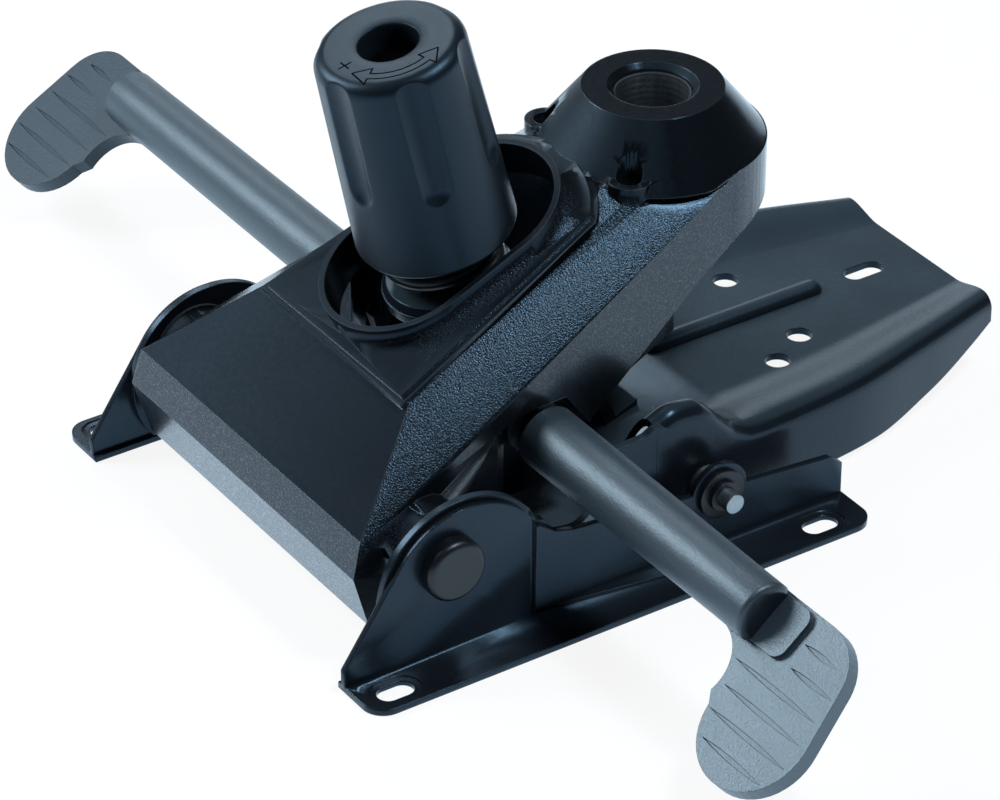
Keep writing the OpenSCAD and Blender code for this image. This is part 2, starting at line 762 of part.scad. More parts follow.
// One unbroken round wire wound as a helix.
module tension_spring() {
    n = len(wire_path);
    m = wire_sides;
    rings = [for (i = [0:n - 1], k = [0:m - 1]) let (t = 360 * i / wire_steps, a = 360 * k / m)
             wire_path[i] + wire_r * [cos(a) * cos(t), cos(a) * sin(t), sin(a)]];
    sides = [for (i = [0:n - 2], k = [0:m - 1]) let (a = i * m + k, b = i * m + (k + 1) % m)
             each [[a, a + m, b], [b, a + m, b + m]]];
    caps = [[for (k = [0:m - 1]) k], [for (k = [m - 1:-1:0]) (n - 1) * m + k]];
    color("#2b2d30") place() on_bolt() polyhedron(rings, concat(sides, caps), convexity = 8);
}

module tension_bolt() {
    color("#86888b") place() difference() {
        union() {
            on_bolt() cylinder(r = stem_r, h = knob_top_h - hole_depth);
            bar_x([anchor_y, anchor_z], eye_r, -eye_half, eye_half);
        }
        bar_x([anchor_y, anchor_z], anchor_r + run_gap, -far, far);
    }
}

module thrust_washer() {
    color("#97989a") place() on_bolt() translate([0, 0, thrust_h]) difference() {
        cylinder(r = knob_in_r - 1.5, h = thrust_t);
        translate([0, 0, -1]) cylinder(r = stem_r + run_gap, h = thrust_t + 2);
    }
}

// Cutter for one flute: a ball at its low end that opens upward as a cone.
module flute_cutter(r_low, r_high, l) {
    a = asin((r_high - r_low) / l);
    rotate_extrude() polygon(concat([[0, l]], [for (t = [-90:15:-15]) r_low * [cos(t), sin(t)]],
                                    [r_low * [cos(a), -sin(a)], [r_high, l]]));
}

// Knob: a tapered cup with a rounded top, flutes that widen towards it and a hexagon for its nut.
module tension_knob() {
    round = 5.5;
    lip = 2;
    low_r = 8.5;
    high_r = 16;
    flute_start = -18;
    flute_low = knob_base_h + 38;
    flute_l = knob_top_h + 8 - flute_low;
    taper = atan((knob_base_r - knob_top_r) / knob_l);
    mid_r = knob_base_r - (flute_low - knob_base_h) * tan(taper);
    flute_lean = atan((knob_top_r - mid_r + high_r - low_r + 0.6) / flute_l);
    color("#3b3e42") place() on_bolt() difference() {
        rotate_extrude() polygon([[0, knob_base_h], [knob_base_r - lip, knob_base_h],
            [knob_base_r, knob_base_h + lip],
            for (a = [0:15:90]) [knob_top_r - round, knob_top_h - round] + round * [cos(a), sin(a)],
            [0, knob_top_h]]);
        translate([0, 0, knob_base_h - 1]) cylinder(r = knob_in_r, h = web_h - knob_base_h + 1);
        cylinder(r = stem_r + 1, h = far);
        translate([0, 0, knob_top_h - hole_depth - nut_t]) cylinder(r = nut_r + run_gap, h = nut_t + 1, $fn = 6);
        translate([0, 0, knob_top_h - hole_depth]) cylinder(r = nut_r + 0.3, h = far);
        for (i = [0:flutes - 1]) rotate([0, 0, flute_start + i * 360 / flutes])
            translate([mid_r + low_r - flute_depth, 0, flute_low]) rotate([0, flute_lean, 0])
                flute_cutter(low_r, high_r, flute_l);
    }
}

module knob_nut() {
    color("#a08a4a") place() on_bolt() translate([0, 0, knob_top_h - hole_depth - nut_t]) difference() {
        cylinder(r = nut_r, h = nut_t, $fn = 6);
        translate([0, 0, -1]) cylinder(r = stem_r + run_gap, h = nut_t + 2);
    }
}

// Lever pieces are drawn for the right side, with the sleeve's end at end_x.
module rod(end_x) {
    bar_x([lever_y, lever_z], rod_r, rod_in_x, end_x - 10);
}

// Tapered sleeve with a chamfered end; its last stretch is cut flat to lie on the paddle's tongue.
module sleeve(end_x) {
    chamfer = 2;
    translate([0, lever_y, lever_z]) rotate([paddle_slope, 0, 0]) difference() {
        rotate([0, 90, 0]) {
            translate([0, 0, sleeve_x]) cylinder(r1 = sleeve_r, r2 = sleeve_end_r, h = end_x - sleeve_x);
            translate([0, 0, end_x]) cylinder(r = sleeve_end_r, h = scoop_l - chamfer);
            translate([0, 0, end_x + scoop_l - chamfer])
                cylinder(r1 = sleeve_end_r, r2 = sleeve_end_r - chamfer, h = chamfer);
        }
        rotate([0, 90, 0]) cylinder(r = rod_r + run_gap, h = end_x - 10 + gap);
        translate([end_x - 1, -far, tongue_z + 0.05 - 2 * far]) cube([far, 2 * far, 2 * far]);
    }
}

// Lens-shaped groove, long along x.
module lens(l, w) {
    r = (l * l / 4 + w * w / 4) / w;
    intersection_for (s = [-1, 1]) translate([0, s * (r - w / 2)]) circle(r);
}

// Outline of a paddle: a neck in line with the sleeve, one straight far side and a rounded lobe below.
module paddle_plan() {
    fillet_r = 17.5;
    lobe_x = paddle_l - paddle_lobe_r;
    hull() {
        translate([lobe_x, -paddle_drop]) circle(paddle_lobe_r, $fn = 48);
        translate([lobe_x - 2.3, sleeve_end_r - 21.3]) circle(21, $fn = 48);
        translate([14, sleeve_end_r - 4.5]) circle(4, $fn = 32);
    }
    translate([-1, -sleeve_end_r + 0.4]) square([20, 2 * sleeve_end_r - 0.8]);
    difference() {
        polygon([[0, -sleeve_end_r + 0.4], [lobe_x - paddle_lobe_r + 2, -paddle_drop - 6], [lobe_x, -sleeve_end_r]]);
        translate([0, -sleeve_end_r + 0.4 - fillet_r]) circle(fillet_r);
    }
}

// Rounded tongue that runs under the sleeve's end.
module tongue_plan() {
    r = 5;
    w = sleeve_end_r - 1.4;
    l = scoop_l + 15.5;
    translate([gap - 1, -w]) square([l - r + 1 - gap, 2 * w]);
    translate([gap - 1, r - w]) square([l + 1 - gap, 2 * (w - r)]);
    for (s = [-1, 1]) translate([l - r, s * (w - r)]) circle(r);
}

module paddle(end_x) {
    groove = 0.9;
    groove_w = 2;
    top = tongue_z - tongue_h;
    rows = [[45.7, 18], [50.1, 23.2], [39.6, 46.3], [42, 44], [43.9, 43.9], [45.1, 34.4]];
    translate([end_x, lever_y, lever_z]) rotate([paddle_slope, 0, 0]) {
        translate([0, 0, top - paddle_t]) difference() {
            linear_extrude(paddle_t) intersection() {
                paddle_plan();
                translate([gap - 1, -far]) square(2 * far);
            }
            for (i = [0:len(rows) - 1]) translate([rows[i].x, 0.5 - i * groove_pitch, paddle_t - groove])
                linear_extrude(far) lens(rows[i].y, groove_w);
        }
        translate([0, 0, top - 0.5]) linear_extrude(tongue_h + 0.5) tongue_plan();
    }
}

// Spring clip on a rod, just inside its bush.
module clip() {
    ring_x([lever_y, lever_z], clip_r, rod_r + 0.02, bush_x0 - gap - clip_t, bush_x0 - gap);
}

module height_rod() {
    color("#8d8e90") place() rod(right_end_x);
}

module height_sleeve() {
    color("#5b5f64") place() sleeve(right_end_x);
}

module height_paddle() {
    color("#71757a") place() paddle(right_end_x);
}

module height_clip() {
    color("#6d6e70") place() clip();
}

// Valve arm: a hub on the rod, a step to the centre plane and a finger under the gas-lift valve.
module valve_arm() {
    hub_x = rod_in_x + 1;
    hub_r = rod_r + 3.5;
    step_y = lever_y + 21;
    finger = [[step_y, lever_z + 3], [socket_y - 4, lever_z + 13], [socket_y + 5, lever_z + 13],
              [socket_y + 5, lever_z + 18], [step_y, lever_z + 10]];
    color("#77797c") place() difference() {
        union() {
            bar_x([lever_y, lever_z], hub_r, hub_x, hub_x + arm_t);
            along_x(hub_x, hub_x + arm_t)
                polygon([[lever_y, lever_z - 2], [step_y + 6, lever_z + 3.6], [step_y + 6, lever_z + 10.6],
                         [lever_y, lever_z + 9]]);
            translate([-arm_t / 2, step_y, lever_z + 3]) cube([hub_x + arm_t, 6, 7]);
            along_x(-arm_t / 2, arm_t / 2) polygon(finger);
            translate([0, socket_y, lever_z + 14]) cylinder(r = 4.5, h = 7);
        }
        bar_x([lever_y, lever_z], rod_r + run_gap, 0, far);
    }
}

module lock_rod() {
    color("#8d8e90") place() mirror([1, 0, 0]) rod(left_end_x);
}

module lock_sleeve() {
    color("#5b5f64") place() mirror([1, 0, 0]) sleeve(left_end_x);
}

module lock_paddle() {
    color("#71757a") place() mirror([1, 0, 0]) paddle(left_end_x);
}

module lock_clip() {
    color("#6d6e70") place() mirror([1, 0, 0]) clip();
}

// Pawl on the lock rod; its tooth drops into the keeper's notch.
module lock_pawl() {
    color("#77797c") place() difference() {
        along_x(-pawl_x - pawl_t, -pawl_x) lock_frame() {
            circle(rod_r + 3);
            square([7, 20]);
            translate([-6, 16.4]) square([8, 3.2]);
        }
        bar_x([lever_y, lever_z], rod_r + run_gap, -far, far);
    }
}

housing();
front_bushes();
lever_bushes();
anchor_pin();
tension_spring();
seat_rail_right();
seat_rail_left();
front_shaft();
shaft_cap();
rear_bolts();
bolt_washers();
lock_rings();
back_plate();
spring_bridge();
spring_seat();
lock_keeper();
tension_bolt();
thrust_washer();
tension_knob();
knob_nut();
height_rod();
height_sleeve();
height_paddle();
valve_arm();
height_clip();
lock_rod();
lock_sleeve();
lock_paddle();
lock_pawl();
lock_clip();
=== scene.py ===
"""Looks of an office chair tilt mechanism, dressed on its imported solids."""
import math

import bmesh
import bpy
import numpy as np
from bpy.props import FloatProperty, FloatVectorProperty, PointerProperty
from mathutils import Matrix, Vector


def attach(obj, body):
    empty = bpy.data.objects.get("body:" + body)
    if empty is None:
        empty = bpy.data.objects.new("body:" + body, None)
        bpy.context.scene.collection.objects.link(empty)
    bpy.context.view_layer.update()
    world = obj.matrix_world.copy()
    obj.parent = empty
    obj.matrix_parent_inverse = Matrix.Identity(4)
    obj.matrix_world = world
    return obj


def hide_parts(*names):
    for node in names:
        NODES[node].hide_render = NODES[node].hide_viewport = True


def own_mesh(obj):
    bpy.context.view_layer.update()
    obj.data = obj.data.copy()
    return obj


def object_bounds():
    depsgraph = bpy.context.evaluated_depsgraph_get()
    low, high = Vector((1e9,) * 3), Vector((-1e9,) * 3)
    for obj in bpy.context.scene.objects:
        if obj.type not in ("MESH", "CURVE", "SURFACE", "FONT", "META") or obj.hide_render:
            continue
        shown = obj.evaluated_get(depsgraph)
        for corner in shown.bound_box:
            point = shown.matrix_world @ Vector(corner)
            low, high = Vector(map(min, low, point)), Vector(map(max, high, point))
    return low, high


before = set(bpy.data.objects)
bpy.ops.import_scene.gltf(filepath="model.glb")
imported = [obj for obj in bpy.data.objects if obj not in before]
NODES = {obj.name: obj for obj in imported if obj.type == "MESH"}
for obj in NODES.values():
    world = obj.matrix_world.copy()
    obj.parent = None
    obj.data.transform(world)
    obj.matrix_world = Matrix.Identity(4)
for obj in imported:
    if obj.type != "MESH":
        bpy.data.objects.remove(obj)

bl_info = {
    "name": "Chair tilt mechanism",
    "version": (1, 0, 0),
    "blender": (4, 5, 0),
    "location": "3D View > Sidebar > Tilt mechanism",
    "description": "Finishes, refined pieces and studio for a chair's tilt mechanism",
    "category": "Object",
}

CAD_BOX = [list(c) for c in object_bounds()]
MM = 0.001

# The frame's origin, the mouth of the gas-lift socket, in the seat frame (millimetres)
SOCKET_MOUTH = np.array([0.0, 88.8, 144.0])

# Tension bolt: its lean, the pin at its foot, and the directions along it and square to it
LEAN = math.radians(13.4)
ANCHOR = np.array([0.0, 9.0, 40.0])
BOLT_UP = np.array([0.0, -math.sin(LEAN), math.cos(LEAN)])
BOLT_SIDE = np.array([0.0, math.cos(LEAN), math.sin(LEAN)])

# Knob and spring: heights along the bolt, radii, and the flat part of the knob's top
KNOB_BASE, KNOB_TOP = 79.0, 166.0
KNOB_BASE_R, KNOB_TOP_R = 31.0, 28.5
KNOB_RIM, KNOB_FLAT_R = 5.5, 23.1

# Holes through the back plate: half distance and place along Y, their radius, and the rear slot
PLATE_HOLES = ((24.7, 144.5), (35.2, 126.2))
PLATE_HOLE_R = 5.2
REAR_SLOT_Y, REAR_SLOT_R, REAR_SLOT_HALF = 195, 4.5, 4.5

# Rear bolts and front shaft: place along Y and Z, and the radius of their holes
REAR_BOLT, REAR_BOLT_HOLE = (58, 23.6), 4.05
FRONT_SHAFT, FRONT_SHAFT_HOLE = (-65, 39), 8.05

# Angles in degrees below which an edge is shaded smooth
CASTING_SMOOTH, RAIL_SMOOTH, PLATE_SMOOTH, KNOB_SMOOTH, ROUND_SMOOTH = 16.0, 25.0, 40.0, 50.0, 60.0

# Where parts of the casting begin and end, in metres: across, along, round the socket and down its bore
SPINE_SIDE = (0.036, 0.044)
SLOPE_FADE = (-0.05, 0.06)
FRONT_WALL = (-0.165, -0.175)
BOSS_RIM = (0.047, 0.0455)
PAST_BOSS = (0.0455, 0.048)
BORE_WALL = (0.0151, 0.0145)
BORE_MOUTH = (0.0008, 0.0)
BORE_FOOT = (-0.062, -0.060)

# Turned rings in the bore: radians of their wave for each metre of depth
RING_WAVE = 2400

# Tints of mirrored light, the bare metal in the bore, and the painted sheen on the plate's upward faces
COOL = (0.45, 0.72, 1.0, 1.0)
SATIN = (0.77, 0.91, 1.0, 1.0)
BARE_METAL = (0.3, 0.32, 0.34)
PLATE_TOP_SHEEN = (0.06, 0.085, 0.105)

# Camera axes and place, found from the photograph
CAMERA_RIGHT = (0.5554, 0.8316, 0.0)
CAMERA_UP = (-0.4514, 0.3015, 0.8399)
CAMERA_BACK = (0.6984, -0.4665, 0.5429)
CAMERA_AT = (1.2933, -0.9334, 0.8912)

# Lamps: name, place, target, width and height in metres, and power as a share of the key's
LAMPS = (
    ("top", (0.47, 0.3, 1.15), (0.0, 0.0, 0.0), (0.3, 0.3), 1.75),
    ("left", (-0.78, -0.78, 0.66), (0.0, 0.0, -0.05), (0.5, 0.6), 2.0),
    ("fill", (-1.05, 0.26, 0.98), (0.0, 0.0, -0.05), (0.5, 0.5), 0.6),
    ("far", (-1.3, 0.75, 0.3), (0.0, 0.0, -0.05), (0.8, 0.5), 0.22),
)
LAMP_COLOUR = (0.8, 0.92, 1.0)

# Floor and background: how the camera sees them, how shiny pieces mirror them, and the sky's light
PAPER = (1.0, 1.0, 1.0)
MIRRORED_PAPER = (0.66, 0.84, 1.0)
FLOOR_COLOUR = (0.86, 0.88, 0.9)
FLOOR_HALF, FLOOR_GAP = 6.0, 0.0002
SKY_COLOUR = (0.64, 0.83, 1.0)


# Shader maths

class Val:
    """A shader value. Python arithmetic on it adds Math nodes to its tree."""

    def __init__(self, tree, socket):
        self.tree = tree
        self.socket = socket

    def math(self, operation, *values, clamp=False):
        """Adds one Math node and returns its result."""
        node = self.tree.nodes.new("ShaderNodeMath")
        node.operation = operation
        node.use_clamp = clamp
        for socket, value in zip(node.inputs, values):
            put(self.tree, socket, value)
        return Val(self.tree, node.outputs[0])

    def __add__(self, other):
        return self.math("ADD", self, other)

    def __radd__(self, other):
        return self.math("ADD", other, self)

    def __sub__(self, other):
        return self.math("SUBTRACT", self, other)

    def __rsub__(self, other):
        return self.math("SUBTRACT", other, self)

    def __mul__(self, other):
        return self.math("MULTIPLY", self, other)

    def __rmul__(self, other):
        return self.math("MULTIPLY", other, self)

    def __pow__(self, other):
        return self.math("POWER", self, other)

    def __abs__(self):
        return self.math("ABSOLUTE", self)

    def step(self, low, high):
        """0 below low, 1 above high, and a straight slope between them (low may be the higher)."""
        return self.math("MULTIPLY", self - low, 1.0 / (high - low), clamp=True)


def put(tree, socket, value):
    """Links a shader value to a socket, or sets the socket's own number or colour."""
    if isinstance(value, Val):
        tree.links.new(value.socket, socket)
    elif isinstance(value, tuple) and len(value) == 3 and len(getattr(socket, "default_value", ())) == 4:
        socket.default_value = (*value, 1.0)
    else:
        socket.default_value = value


def add_node(tree, kind, settings=None, sockets=None, out=0):
    """Any other node: its type, its settings first, then its sockets' values or links. Gives one output."""
    node = tree.nodes.new(kind)
    for key, value in (settings or {}).items():
        setattr(node, key, value)
    for key, value in (sockets or {}).items():
        put(tree, node.inputs[key], value)
    return Val(tree, node.outputs[out])


class Finish:
    """A material under construction: a Principled shader and the nodes that feed it."""

    def __init__(self, name, **constants):
        self.material = bpy.data.materials.new(name)
        self.material.use_nodes = True
        self.tree = self.material.node_tree
        self.shader = self.tree.nodes["Principled BSDF"]
        for key, value in constants.items():
            put(self.tree, self.shader.inputs[key.replace("_", " ")], value)
        self.place = self.node("ShaderNodeTexCoord", out="Object")
        self.facing = self.node("ShaderNodeTexCoord", out="Normal")

    def node(self, kind, settings=None, sockets=None, out=0):
        """A node in this material's tree."""
        return add_node(self.tree, kind, settings, sockets, out)

    def xyz(self, vector):
        """The three parts of a vector."""
        node = self.tree.nodes.new("ShaderNodeSeparateXYZ")
        put(self.tree, node.inputs[0], vector)
        return [Val(self.tree, o) for o in node.outputs]

    def noise(self, scale, detail=2.0, rough=0.55, stretch=(1.0, 1.0, 1.0)):
        """Noise in object space, with its grain per metre; stretch multiplies the grain along each axis."""
        place = self.place
        if stretch != (1.0, 1.0, 1.0):
            sockets = {"Vector": place, "Scale": stretch}
            place = self.node("ShaderNodeMapping", {"vector_type": "POINT"}, sockets)
        sockets = {"Vector": place, "Scale": scale, "Detail": detail, "Roughness": rough}
        return self.node("ShaderNodeTexNoise", {}, sockets)

    def mix(self, factor, a, b):
        """Blend of two colours."""
        return self.node("ShaderNodeMix", {"data_type": "RGBA"}, {0: factor, 6: a, 7: b}, 2)

    def soft_edges(self, radius):
        """Normal that rounds the edges within a radius."""
        return self.node("ShaderNodeBevel", {"samples": 6}, {"Radius": radius})

    def edge_mask(self, rounded, gain):
        """How far the rounded normal leaves the flat one: 0 on faces, towards 1 on edges."""
        flat = self.node("ShaderNodeNewGeometry", out="Normal")
        dot = self.node("ShaderNodeVectorMath", {"operation": "DOT_PRODUCT"}, {0: rounded, 1: flat}, "Value")
        return ((1 - dot) * gain).step(0.0, 1.0)

    def bump(self, height, distance, strength=1.0, under=None):
        """Bump from a height of 0 to 1 that stands for a distance in metres."""
        sockets = {"Height": height, "Distance": distance, "Strength": strength}
        if under is not None:
            sockets["Normal"] = under
        return self.node("ShaderNodeBump", {}, sockets)

    def feed(self, **sockets):
        """Feeds the shader's own sockets."""
        for key, value in sockets.items():
            put(self.tree, self.shader.inputs[key.replace("_", " ")], value)
        return self.material


def grey(colour, share):
    """A colour made lighter or darker by a share."""
    return tuple(c * share for c in colour)


# Finishes

def casting_paint(look):
    """Black powder coat on the casting: grain on shoulders and front, with painted sparkle highlights in its
    colour, the front wall painted lighter as a painted reflection and the edges painted lighter as painted
    highlights, a dull slope that fades along X, glossier boss and upright faces, bare turned metal in the
    bore. Each mask runs from 0 to 1."""
    f = Finish("casting_paint", Specular_Tint=COOL, Specular_IOR_Level=0.22, Coat_Roughness=0.18)
    x, y, z = f.xyz(f.place)
    nx, ny, nz = f.xyz(f.facing)
    radius = (x * x + y * y) ** 0.5
    shoulder = abs(nx).step(0.22, 0.4) * nz.step(0.3, 0.5) * radius.step(*PAST_BOSS)
    front = ny.step(-0.55, -0.8) * y.step(*FRONT_WALL)
    wide = abs(x).step(*SPINE_SIDE)
    upright = nz.step(0.5, 0.3) * wide.math("MAXIMUM", wide, front)
    slope = ny.step(-0.3, -0.5) * nz.step(0.5, 0.65)
    boss = radius.step(*BOSS_RIM)
    bore = radius.step(*BORE_WALL) * z.step(*BORE_MOUTH) * z.step(*BORE_FOOT)
    grain = f.noise(1450, detail=1, rough=0.6)
    peel = f.noise(520)
    edges = f.soft_edges(0.0007)
    wear_and_edge_highlight = f.edge_mask(edges, 4.0)
    turned = z * RING_WAVE
    rings = turned.math("SINE", turned) * 0.5 + 0.5
    depth = shoulder * 0.95 + front * 0.5 + upright * 0.12 + 0.06
    normal = f.bump((grain * depth + peel * 0.1) * (1 - bore) + rings * bore * 0.25, 0.0002, 0.9, edges)
    # The specks lighten the coat's colour on shoulders, front and upright faces: painted sparkle highlights.
    sparkle_specks = grain.step(0.5, 0.7)
    # The tone also paints the front wall lighter, a painted reflection, and the edges lighter, a painted edge
    # highlight.
    tone = wear_and_edge_highlight * 0.4 + sparkle_specks * (front * 0.2 + shoulder * 0.35 + upright * 0.06) + front * 0.06
    base = f.mix(tone.step(0.0, 1.0), tuple(look.casting), grey(look.casting, 18.0))
    dull = slope * (0.33 + x.step(*SLOPE_FADE) * 0.2)
    rough = 0.24 + dull + peel * 0.12 - shoulder * 0.06 - boss * 0.1
    coat = (upright * (0.3 + sparkle_specks * 0.6) + wear_and_edge_highlight * 0.9).step(0.0, 1.0)
    return f.feed(Base_Color=f.mix(bore, base, BARE_METAL), Metallic=bore, Coat_Weight=coat * (1 - bore),
                  Roughness=rough * (1 - bore) + bore * 0.36, Normal=normal)


def sheet_paint(name, colour, radius, gloss, mirror=0.5, top_sheen=0.0):
    """Glossy black coat on bent sheet: faint orange peel, duller patches, paler edges that are partly wear
    and partly a painted highlight, and a painted sheen on upward faces.
    """
    f = Finish(name, Specular_Tint=COOL, Specular_IOR_Level=mirror)
    up = f.xyz(f.facing)[2].step(0.75, 0.98)
    peel = f.noise(330)
    patch = f.noise(22, detail=3).step(0.3, 0.75)
    dust = f.noise(1900, detail=1).step(0.66, 0.8)
    edges = f.soft_edges(radius)
    wear_and_edge_highlight = f.edge_mask(edges, 6.0)
    # Paler edges here are partly wear and partly a painted highlight.
    base = f.mix(wear_and_edge_highlight * 0.3 + dust * 0.06, colour, grey(colour, 3.0))
    # Upward faces are mixed towards a paler colour: a painted sheen.
    base = f.mix(up * (0.75 + patch * 0.25) * top_sheen, base, PLATE_TOP_SHEEN)
    return f.feed(Base_Color=base, Roughness=gloss + patch * 0.09 + dust * 0.1 + peel * 0.04,
                  Normal=f.bump(peel, 0.00012, 0.35, edges))


def moulded(name, colour, rough, grain, depth, speckle, radius=0.0008, mirror=0.5, tint=COOL):
    """Moulded plastic: eroded grain, a speckle of lighter points, slow changes of tone and lighter edges that
    are partly wear and partly a painted highlight.
    """
    f = Finish(name, IOR=1.6, Specular_IOR_Level=mirror, Specular_Tint=tint)
    fine = f.noise(grain, detail=3, rough=0.65)
    cloud = f.noise(34)
    points = f.noise(grain * 0.8, detail=1).step(0.56, 0.78)
    edges = f.soft_edges(radius)
    wear_and_edge_highlight = f.edge_mask(edges, 4.0)
    # Lighter edges in the tone are partly wear and partly a painted highlight.
    tone = cloud * 0.3 + fine * speckle * 0.6 + points * speckle + wear_and_edge_highlight * 0.2
    base = f.mix(tone.step(0.1, 0.9), grey(colour, 0.82), grey(colour, 1.3))
    return f.feed(Base_Color=base, Roughness=rough + fine * 0.12 + cloud * 0.06,
                  Normal=f.bump(fine, depth, 0.6, edges))


def machined(name, colour, rough, lines, metallic=1.0):
    """Worked steel: fine turned lines across X and a blotchy sheen."""
    f = Finish(name, Metallic=metallic)
    turned = f.noise(120, rough=0.6, stretch=(lines, 1.0, 1.0))
    blotch = f.noise(160, detail=3, rough=0.6)
    edges = f.soft_edges(0.0006)
    base = f.mix(blotch.step(0.3, 0.75), grey(colour, 0.7), grey(colour, 1.2))
    return f.feed(Base_Color=base, Roughness=rough + blotch * 0.16 + turned * 0.06,
                  Normal=f.bump(turned * 0.5 + blotch * 0.5, 0.0002, 0.5, edges))


# Meshes worked out with numpy

def piece(name, points, faces, smooth=35.0):
    """Mesh object from vertices in seat-frame millimetres and faces given by index, doubles merged."""
    mesh = bpy.data.meshes.new(name)
    rows = (np.asarray(points, float).reshape(-1, 3) - SOCKET_MOUTH) * MM
    mesh.from_pydata(rows.tolist(), [], [np.asarray(q).tolist() for q in faces])
    work = bmesh.new()
    work.from_mesh(mesh)
    bmesh.ops.remove_doubles(work, verts=work.verts, dist=1e-7)
    bmesh.ops.dissolve_degenerate(work, edges=work.edges, dist=1e-8)
    bmesh.ops.recalc_face_normals(work, faces=work.faces)
    work.to_mesh(mesh)
    work.free()
    thing = bpy.data.objects.new(name, mesh)
    bpy.context.scene.collection.objects.link(thing)
    shade(mesh, smooth)
    return thing


def shade(mesh, angle):
    """Smooth shading, with edges sharper than an angle kept crisp."""
    mesh.polygons.foreach_set("use_smooth", np.ones(len(mesh.polygons), bool))
    mesh.set_sharp_from_angle(angle=math.radians(angle))


def grid_faces(rows, columns, wrap_rows=False, wrap_columns=False, start=0):
    """Quads of a grid of rows by columns, closed round either way if asked."""
    down, across = np.arange(rows - (not wrap_rows)), np.arange(columns - (not wrap_columns))
    i, j = (g.ravel() for g in np.meshgrid(down, across, indexing="ij"))
    k, l = (i + 1) % rows, (j + 1) % columns
    return start + np.stack([i * columns + j, k * columns + j, k * columns + l, i * columns + l], 1)


def strip_caps(rows, columns, start=0):
    """Quads that close both ends of a lofted ring whose second half runs back under its first."""
    a = np.arange(columns // 2 - 1)
    cap = np.stack([a, a + 1, columns - 2 - a, columns - 1 - a], 1)
    return start + np.concatenate([cap, cap[:, ::-1] + (rows - 1) * columns])


def curve_through(table, at):
    """Monotone cubic through a table of (place, value): each slope is the weighted harmonic mean of the
    two chords beside it, or 0 where they turn."""
    x, f = np.array(table, float).T
    h = np.diff(x)
    d = np.diff(f) / h
    slope = np.concatenate([[d[0]], np.zeros(len(h) - 1), [d[-1]]])
    w1, w2 = 2 * h[1:] + h[:-1], h[1:] + 2 * h[:-1]
    same = d[:-1] * d[1:] > 0
    a, b = np.where(same, d[:-1], 1.0), np.where(same, d[1:], 1.0)
    slope[1:-1] = np.where(same, (w1 + w2) / (w1 / a + w2 / b), 0.0)
    i = np.clip(np.searchsorted(x, at) - 1, 0, len(h) - 1)
    s = np.clip((at - x[i]) / h[i], 0.0, 1.0)
    return ((1 + 2 * s) * (1 - s) ** 2 * f[i] + s * (1 - s) ** 2 * h[i] * slope[i]
            + s * s * (3 - 2 * s) * f[i + 1] + s * s * (s - 1) * h[i] * slope[i + 1])


def on_bolt(side, back, up):
    """Points in the bolt's frame (side along X, back square to the bolt, up along it) in the seat frame."""
    return (ANCHOR + np.multiply.outer(side, [1.0, 0.0, 0.0]) + np.multiply.outer(back, BOLT_SIDE)
            + np.multiply.outer(up, BOLT_UP))


def round_bars(bars):
    """Closed cylinders between two points, (start, end, radius) each, as one set of vertices and faces:
    a circle square to the line, carried along it, with a flat face at each end."""
    points, faces, start = [], [], 0
    ring = 48
    turn = np.linspace(0, 2 * np.pi, ring, endpoint=False)
    for p, q, r in bars:
        p, q = np.array(p, float), np.array(q, float)
        w = (q - p) / np.linalg.norm(q - p)
        u = np.cross(w, [0.3, 0.5, 0.81])
        u /= np.linalg.norm(u)
        circle = r * (np.outer(np.cos(turn), u) + np.outer(np.sin(turn), np.cross(w, u)))
        points.append(np.concatenate([p + circle, q + circle]))
        faces += list(grid_faces(2, ring, wrap_columns=True, start=start))
        faces += [start + np.arange(ring)[::-1], start + ring + np.arange(ring)]
        start += 2 * ring
    return np.concatenate(points), faces


def posts(outlines, low, high):
    """Closed upright prisms on plan outlines: each outline carried between two heights, with flat ends."""
    points, faces, start = [], [], 0
    for outline in outlines:
        n = len(outline)
        flat = np.asarray(outline, float)
        points.append(np.concatenate([np.column_stack([flat, np.full(n, z)]) for z in (low, high)]))
        faces += list(grid_faces(2, n, wrap_columns=True, start=start))
        faces += [start + np.arange(n)[::-1], start + n + np.arange(n)]
        start += 2 * n
    return np.concatenate(points), faces


def slot_outline(x, y, r, half=0.0):
    """Circle of 48 points, pulled apart along Y by a half length into a slot."""
    a = np.linspace(0, 2 * np.pi, 48, endpoint=False)
    return np.stack([x + r * np.cos(a), y + r * np.sin(a) + half * np.sign(np.sin(a))], 1)


def bake(thing):
    """Keeps what a piece's modifiers make of it as its mesh."""
    made = bpy.data.meshes.new_from_object(thing.evaluated_get(bpy.context.evaluated_depsgraph_get()))
    thing.modifiers.clear()
    thing.data = made


def drill(thing, cutter, smooth):
    """Cuts a closed mesh out of a piece and keeps the result as its mesh."""
    tool = piece("cutter", *cutter)
    hole = thing.modifiers.new("holes", "BOOLEAN")
    hole.object, hole.solver = tool, "EXACT"
    bake(thing)
    bpy.data.objects.remove(tool)
    shade(thing.data, smooth)


